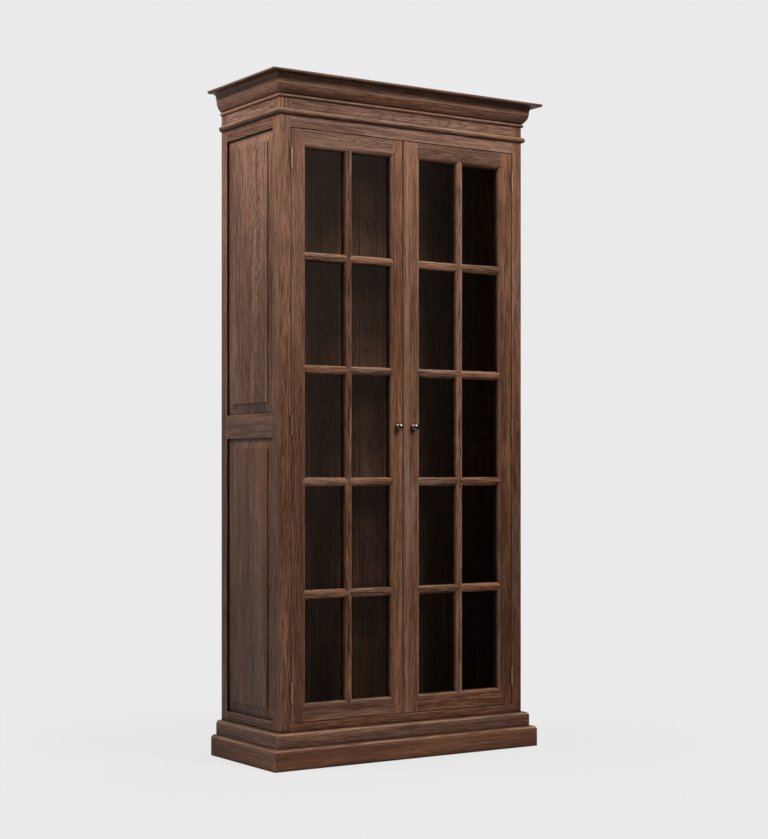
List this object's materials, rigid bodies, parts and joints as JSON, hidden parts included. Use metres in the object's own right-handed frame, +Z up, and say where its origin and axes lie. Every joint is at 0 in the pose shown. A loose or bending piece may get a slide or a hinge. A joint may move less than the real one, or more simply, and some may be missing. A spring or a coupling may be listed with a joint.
{
  "type": "bookcase with glass doors",
  "caption": "Tall oak display bookcase with two inset glazed doors divided by glazing bars, raised side panels, glass shelves, stepped plinth and moulded crown.",
  "frame": {"origin": "on the floor, under the middle of the whole piece", "axes": "+X to the right of someone facing the doors, -Y out of the front, +Z up"},
  "size_m": [1.11, 0.459, 2.3],
  "materials": {
    "oak": "brushed oak, dark brown stain, matt wax",
    "glass": "clear float glass",
    "brass": "aged brass",
    "pewter": "aged pewter",
    "steel": "plain steel",
    "catch": "brown moulded"
  },
  "bodies": {
    "case": {"front_left_post": "oak", "front_right_post": "oak", "back_left_post": "oak", "back_right_post": "oak", "front_top_rail": "oak", "front_bottom_rail": "oak", "back_top_rail": "oak", "back_bottom_rail": "oak", "left_top_rail": "oak", "left_middle_rail": "oak", "left_bottom_rail": "oak", "right_top_rail": "oak", "right_middle_rail": "oak", "right_bottom_rail": "oak", "left_upper_panel": "oak", "left_lower_panel": "oak", "right_upper_panel": "oak", "right_lower_panel": "oak", "back_boards": "oak", "floor_board": "oak", "ceiling_board": "oak", "shelves": "glass", "shelf_pins": "steel", "plinth_front": "oak", "plinth_left": "oak", "plinth_right": "oak", "base_moulding_front": "oak", "base_moulding_left": "oak", "base_moulding_right": "oak", "bead_front": "oak", "bead_left": "oak", "bead_right": "oak", "crown_front": "oak", "crown_left": "oak", "crown_right": "oak", "top_board": "oak", "case_hinge_leaves": "brass", "hinge_pins": "brass", "magnetic_catches": "catch"},
    "left_door": {"left_door_hinge_stile": "oak", "left_door_meeting_stile": "oak", "left_door_top_rail": "oak", "left_door_bottom_rail": "oak", "left_door_glazing_bars": "oak", "left_door_glass": "glass", "left_door_glazing_stops": "oak", "left_door_knob": "pewter", "left_door_catch_plate": "steel", "left_door_hinge_leaves": "brass"},
    "right_door": {"right_door_hinge_stile": "oak", "right_door_meeting_stile": "oak", "right_door_top_rail": "oak", "right_door_bottom_rail": "oak", "right_door_glazing_bars": "oak", "right_door_glass": "glass", "right_door_glazing_stops": "oak", "right_door_knob": "pewter", "right_door_catch_plate": "steel", "right_door_hinge_leaves": "brass"}
  },
  "joints": [
    {"name": "left_door_hinge", "type": "hinge", "parent": "case", "child": "left_door", "pos_m": [-0.4565, -0.178, 1.136], "axis": [0, 0, -1], "range_deg": [0, 180]},
    {"name": "right_door_hinge", "type": "hinge", "parent": "case", "child": "right_door", "pos_m": [0.4565, -0.178, 1.136], "axis": [0, 0, 1], "range_deg": [0, 180]}
  ]
}
